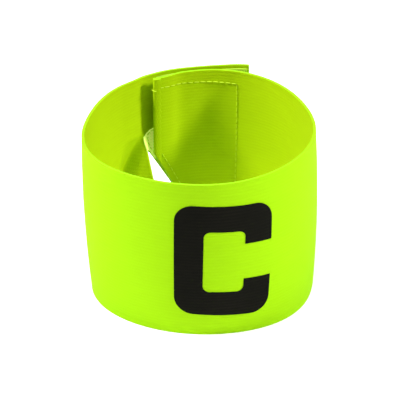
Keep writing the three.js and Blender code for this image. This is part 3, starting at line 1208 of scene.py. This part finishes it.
@dataclass
class CaptainMark:
    """The captain's mark: a plain block letter in thin film, pressed on the front a little askew.

    Attributes:
        turn: Where its middle lies, in degrees right of the back.
        arm: Length of the two arms on the right.
        tilt: How far it leans from upright, in degrees.
        column_step: Spacing of the cuts that let it bend round the loop.
        follow: How far the film sinks between the ribs, as a share of their depth.
        reach: How far from its middle it is sliced, in shares of its width and height.
    """

    elastic: Elastic
    turn: float = 170.6
    width: float = 36 * MM
    height: float = 47 * MM
    stroke: float = 10.5 * MM
    arm: float = 16 * MM
    corner: float = 7 * MM
    inner_corner: float = 2.5 * MM
    tilt: float = -3.4
    film: float = 0.16 * MM
    column_step: float = 1.8 * MM
    corner_steps: int = 10
    follow: float = 0.6
    reach: tuple[float, float] = (0.6, 0.55)

    def cut_outline(self) -> bpy.types.Object:
        """Cuts the letter flat: a plate, less its middle and its right side, with rounded corners."""
        bpy.ops.object.select_all(action="DESELECT")
        bpy.ops.mesh.primitive_plane_add(size=1)
        plate = bpy.context.object
        plate.name = "captain_mark_film"
        plate.scale = (self.width, self.height, 1)
        settle(plate)
        in_x, in_y = self.width / 2 - self.stroke, self.height / 2 - self.stroke
        arm_y = self.height / 2 - self.arm
        cuts = [((x, 0, 0), (1, 0, 0)) for x in (-in_x, in_x)]
        cuts += [((0, y, 0), (0, 1, 0)) for y in (-in_y, -arm_y, arm_y, in_y)]
        slice_flat(plate, cuts)
        with editing(plate, "DESELECT"):
            bpy.ops.mesh.select_mode(type="FACE")
        for face in plate.data.polygons:
            x, y = face.center.x, face.center.y
            face.select = (abs(x) < in_x and abs(y) < in_y) or (x > in_x and abs(y) < arm_y)
        with editing(plate):
            bpy.ops.mesh.delete(type="FACE")
            bpy.ops.mesh.select_all(action="SELECT")
            bpy.ops.mesh.dissolve_limited()
        near = self.stroke / 4
        for x, y, radius in (
            (self.width / 2, self.height / 2, self.corner),
            (in_x, in_y, self.inner_corner),
        ):
            select_points(plate, lambda co: abs(abs(co.x) - x) < near and abs(abs(co.y) - y) < near)
            with editing(plate):
                bpy.ops.mesh.bevel(offset=radius, segments=self.corner_steps, affect="VERTICES")
        return plate

    def build(self) -> bpy.types.Object:
        """Models the letter: cut flat, turned askew, sliced along the ribs, wrapped and thickened."""
        strip = self.elastic.strip
        film = self.cut_outline()
        film.rotation_euler = (0, 0, math.radians(self.tilt))
        settle(film)
        reach_x, reach_y = self.width * self.reach[0], self.height * self.reach[1]
        row = self.elastic.pitch / self.elastic.rows_per_rib
        first = math.ceil((strip.width / 2 - reach_y) / row)
        last = math.floor((strip.width / 2 + reach_y) / row)
        cuts = [((x, 0, 0), (1, 0, 0)) for x in evenly(-reach_x, reach_x, self.column_step)]
        cuts += [((0, k * row - strip.width / 2, 0), (0, 1, 0)) for k in range(first, last + 1)]
        slice_flat(film, cuts)
        flat = np.array([vertex.co for vertex in film.data.vertices])
        middle = float(np.interp(self.turn, strip.turns, strip.lengths))
        along, up = middle - flat[:, 0], strip.width / 2 + flat[:, 1]
        crest = self.elastic.crest_share * self.elastic.bead_thick / 2
        surface = crest + (self.elastic.half_thick(up) - crest) * self.follow
        points = strip.wrap(along, surface + self.film / 2, up)
        film.data.vertices.foreach_set("co", points.ravel())
        map_cloth(film, np.stack([along, up], axis=-1))
        work(film, "SOLIDIFY", thickness=self.film, offset=0)
        with editing(film, "SELECT"):
            bpy.ops.mesh.normals_make_consistent(inside=False)
        return smooth(film)


def slice_flat(piece: bpy.types.Object, cuts: list[tuple[tuple[float, ...], tuple[float, ...]]]) -> None:
    """Slices a flat piece along planes, without taking anything away.

    Args:
        piece: The mesh object.
        cuts: A place on each plane and its normal.
    """
    with editing(piece):
        for place, normal in cuts:
            bpy.ops.mesh.select_all(action="SELECT")
            bpy.ops.mesh.bisect(plane_co=place, plane_no=normal)


@dataclass
class Seam:
    """A row of lockstitches through the elastic, with a stitch of thread after each needle hole.

    Attributes:
        corners: Places of the seam's corners: along and up.
        out: Height of the face that it is sewn on, with its sign.
    """

    strip: Strip
    corners: list[tuple[float, float]]
    out: float
    pitch: float = 2.5 * MM
    thread: float = 0.4 * MM

    def places(self) -> tuple[np.ndarray, np.ndarray]:
        """The middle and the direction of each stitch, in the flat layout."""
        middles, yaws = [], []
        sign = math.copysign(1, self.out)
        for start, end in zip(self.corners, self.corners[1:]):
            step = np.subtract(end, start)
            length = float(np.hypot(*step))
            count = max(1, round(length / self.pitch))
            shares = (np.arange(count) + 0.5) / count
            middles += [tuple(np.add(start, step * share)) for share in shares]
            yaws += [math.atan2(step[1], sign * step[0])] * count
        return np.array(middles), np.array(yaws)


@dataclass
class Stitching:
    """All the rows of stitches on one part of the armband.

    Attributes:
        length_share: Length of a stitch, as a share of the seam's pitch.
        sunk: How far the thread sinks into the cloth, as a share of its thickness.
    """

    name: str
    seams: list[Seam]
    length_share: float = 0.86
    sunk: float = 0.15

    def build(self) -> bpy.types.Object:
        """Models one stitch and copies it along each seam, then joins them."""
        rows = []
        for seam in self.seams:
            bpy.ops.object.select_all(action="DESELECT")
            bpy.ops.mesh.primitive_uv_sphere_add(
                segments=8, ring_count=6, radius=0.5, rotation=(0, math.pi / 2, 0)
            )
            stitch = bpy.context.object
            stitch.scale = (seam.thread, seam.thread, seam.pitch * self.length_share)
            settle(stitch)
            places, yaws = seam.places()
            lift = seam.out + math.copysign(seam.thread * (0.5 - self.sunk), seam.out)
            swarm = Swarm(self.name, seam.strip, lift)
            rows.append(swarm.build(stitch, places, yaws, np.ones(len(places))))
        take_up(rows[0])
        for row in rows[1:]:
            row.select_set(True)
        bpy.ops.object.join()
        piece = bpy.context.object
        piece.name = self.name
        return piece


@dataclass
class LooseThread:
    """The end of the sewing thread that sticks out beside the inner end: one small arch."""

    strip: Strip
    along: float = 0.2 * MM
    up: float = 60.2 * MM
    radius: float = 0.9 * MM
    thread: float = 0.16 * MM
    yaw: float = 0.4

    def build(self) -> bpy.types.Object:
        """Models the arch and sets it on the hem."""
        arch = half_ring(self.radius, self.thread, steps=20, sides=6)
        place = np.array([(self.along, self.up)])
        out = -self.strip.thick
        return Swarm("loose_thread", self.strip, out).build(arch, place, np.array([self.yaw]), np.ones(1))


@dataclass
class Studio:
    """The pale floor, the soft lights and the camera.

    Attributes:
        aim_x: Where it looks, to the right.
        aim_y: Where it looks, to the back.
        lamp_reach: Distance of the softboxes.
    """

    strip: Strip
    focal_pixels: float = 1638.0
    image_pixels: float = 400.0
    sensor: float = 36.0
    elevation: float = 30.185
    distance: float = 0.62683
    aim_x: float = -0.475 * MM
    aim_y: float = -3.06 * MM
    clip_start: float = 0.01
    clip_end: float = 20.0
    floor_side: float = 6.0
    lamp_reach: float = 1.0
    world_strength: float = 0.0

    def camera(self) -> None:
        """Sets the camera up at the photograph's viewing angle."""
        aim = Vector((self.aim_x, self.aim_y, self.strip.width / 2))
        rise = math.radians(self.elevation)
        data = bpy.data.cameras.new("camera")
        data.sensor_width = self.sensor
        data.lens = self.focal_pixels / self.image_pixels * self.sensor
        data.clip_start = self.clip_start
        data.clip_end = self.clip_end
        camera = bpy.data.objects.new("camera", data)
        camera.location = aim + Vector((0, -math.cos(rise), math.sin(rise))) * self.distance
        camera.rotation_euler = (math.pi / 2 - rise, 0, 0)
        bpy.context.scene.collection.objects.link(camera)
        bpy.context.scene.camera = camera

    def lamp(self, row: SoftboxRow) -> None:
        """Sets a softbox up, facing the armband; its azimuth counts to the right from the camera's side."""
        data = bpy.data.lights.new(row.name, "AREA")
        data.shape = "SQUARE"
        data.size = row.side
        data.energy = row.watts
        lamp = bpy.data.objects.new(row.name, data)
        turn, rise = math.radians(row.azimuth), math.radians(row.elevation)
        level = math.cos(rise)
        toward = Vector((math.sin(turn) * level, -math.cos(turn) * level, math.sin(rise)))
        lamp.location = toward * self.lamp_reach + Vector((0, 0, self.strip.width / 2))
        lamp.rotation_euler = toward.to_track_quat("Z", "Y").to_euler()
        bpy.context.scene.collection.objects.link(lamp)

    def floor(self) -> None:
        """Lays the pale floor."""
        bpy.ops.object.select_all(action="DESELECT")
        bpy.ops.mesh.primitive_plane_add(size=self.floor_side)
        floor = bpy.context.object
        floor.name = "floor"
        floor.data.materials.append(FloorPaper().material())

    def light(self) -> None:
        """Lights the armband with softboxes round it."""
        for row in SOFTBOXES:
            self.lamp(row)
        world = bpy.data.worlds.new("studio")
        world.use_nodes = True
        background = world.node_tree.nodes["Background"].inputs
        background["Color"].default_value = (1, 1, 1, 1)
        background["Strength"].default_value = self.world_strength
        bpy.context.scene.world = world
        bpy.context.scene.view_settings.view_transform = "Standard"


@dataclass
class Armband:
    """The whole armband: its pieces, built in order and set on the frame.

    Attributes:
        hook_lit_border: Width of the hook tape's pale border, painted light that glows.
        seam_fall: How much lower the loop tape's seam ends than it starts.
        slope_share: From the missing corner to the seam, in seam insets.
        lift_share: From the lifted edge to the seam, in seam insets.
        lift_step: Spacing of the seam's corners along the lifted edge.
    """

    strip: Strip
    loop_length: float = 35.5 * MM
    loop_margin: float = 3 * MM
    hook_margin: float = 1.5 * MM
    hook_setback: float = 5 * MM
    hook_toe: float = 1.7 * MM
    hook_lit_border: float = 6 * MM
    seam_inset: float = 1.3 * MM
    seam_fall: float = 1.2 * MM
    slope_share: float = 1.9
    lift_share: float = 1.5
    lift_step: float = 4 * MM

    def dress(
        self, piece: bpy.types.Object, slot: str, finish: TapeYarn | PressedFilm | None = None
    ) -> None:
        """Gives a piece its finish and makes it ride on the frame.

        Args:
            piece: The finished mesh.
            slot: The name of a material slot; not used.
            finish: The finish, or None where the piece has its own already.
        """
        if finish is not None:
            piece.data.materials.append(finish.material())
        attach(piece, "root")
        LOG.info("%s: %d faces", piece.name, len(piece.data.polygons))

    def build(self) -> None:
        """Builds every piece."""
        strip = self.strip
        elastic = Elastic(strip)
        band = elastic.build()
        self.dress(band, "elastic")
        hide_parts("band")
        elastic.cut_area
        outside, inside = (strip, Side.OUTER, strip.tape_inset), (strip, Side.INNER, strip.hook_start)
        loop_tape = LoopTape("loop_tape_backing", *outside, self.loop_length, self.loop_margin)
        hook_tape = HookTape("hook_tape_backing", *inside, strip.hook_length, self.hook_margin)
        hook_tape.setback, hook_tape.toe = self.hook_setback, self.hook_toe
        loop_yarn = TapeYarn("loop_yarn", (0.36, 0.62, 0.01), (0.24, 0.44, 0.003), 0.9, 0.4)
        hook_nylon = TapeYarn("hook_nylon", (0.60, 0.74, 0.06), (0.48, 0.62, 0.03), 0.5, 0.1)
        # The hook ground's pale, glowing border is painted light, partly the tape's paler edge.
        hook_ground_lit_border = LitBorderYarn(
            name="hook_ground_lit_border",
            light=(0.50, 0.72, 0.05),
            dark=(0.40, 0.60, 0.03),
            roughness=0.7,
            sheen=0.2,
            border=(0.78, 0.97, 0.19),
            lit_border_end=strip.hook_start + self.hook_lit_border,
            glow=0.3,
        )
        for tape, cover, node, slot, ground, finish in (
            (loop_tape, loop_tape.build_nap(), "loop_tape", "loop", loop_yarn, loop_yarn),
            (hook_tape, hook_tape.build_hooks(), "hook_tape", "hook", hook_ground_lit_border, hook_nylon),
        ):
            backing = tape.build_backing()
            self.dress(backing, slot, ground)
            self.dress(cover, slot, finish)
            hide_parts(node)
            tape.cut_area
        mark = CaptainMark(elastic).build()
        self.dress(mark, "film", PressedFilm())
        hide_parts("captain_mark")
        thread = TapeYarn("sewing_thread", (0.62, 0.82, 0.02), (0.54, 0.70, 0.01), 0.6, 0.3)
        for stitching in self.stitching(loop_tape, hook_tape):
            self.dress(stitching.build(), "elastic", thread)
        self.dress(LooseThread(strip).build(), "elastic", thread)

    def stitching(self, loop_tape: Tape, hook_tape: Tape) -> list[Stitching]:
        """The rows of stitches: round each tape, through the elastic, and along the missing corner."""
        strip, inset = self.strip, self.seam_inset
        left = strip.tape_inset + inset
        right = loop_tape.start + loop_tape.length - inset
        top, low = strip.width - loop_tape.margin - inset, loop_tape.margin + inset
        slope = strip.corner_rise / strip.corner_run
        beside = self.slope_share * inset * math.hypot(1, slope)
        corner_low = strip.corner_run * (1 - (low - beside) / strip.corner_rise)
        corner_high = strip.corner_edge(left) + beside
        loop_seam = [
            (left, corner_high),
            (left, top),
            (right, top - self.seam_fall),
            (right, low),
            (corner_low, low),
            (left, corner_high),
        ]
        end = hook_tape.start + hook_tape.length - inset
        start = hook_tape.start + inset
        high, foot = strip.width - hook_tape.margin - inset, hook_tape.margin + inset
        beside = self.lift_share * inset
        lifted = [
            (along, max(foot, strip.lifted_edge(along) + strip.tape_inset + beside))
            for along in evenly(start, strip.tuck_at + strip.tuck_span, self.lift_step)
        ]
        bend, shoulder = hook_tape.shoulder
        upper = start + hook_tape.setback
        low = start - hook_tape.toe
        hook_seam = [
            (end, foot),
            (end, high),
            (upper, high),
            (upper, shoulder),
            (low, bend),
            *lifted,
            (end, foot),
        ]
        cloth = strip.thick / 2
        return [
            Stitching(
                "loop_tape_stitches",
                [Seam(strip, loop_seam, -cloth), Seam(strip, loop_seam, loop_tape.face)],
            ),
            Stitching(
                "hook_tape_stitches",
                [Seam(strip, hook_seam, cloth), Seam(strip, hook_seam, hook_tape.face)],
            ),
        ]


def main() -> None:
    """Builds the studio and the armband."""
    logging.basicConfig(level=logging.INFO, format="%(name)s: %(message)s")
    strip = Strip()
    LOG.info("strip %.4f m long", strip.length)
    studio = Studio(strip)
    studio.camera()
    studio.floor()
    studio.light()
    Armband(strip).build()


if __name__ == "__main__":
    main()
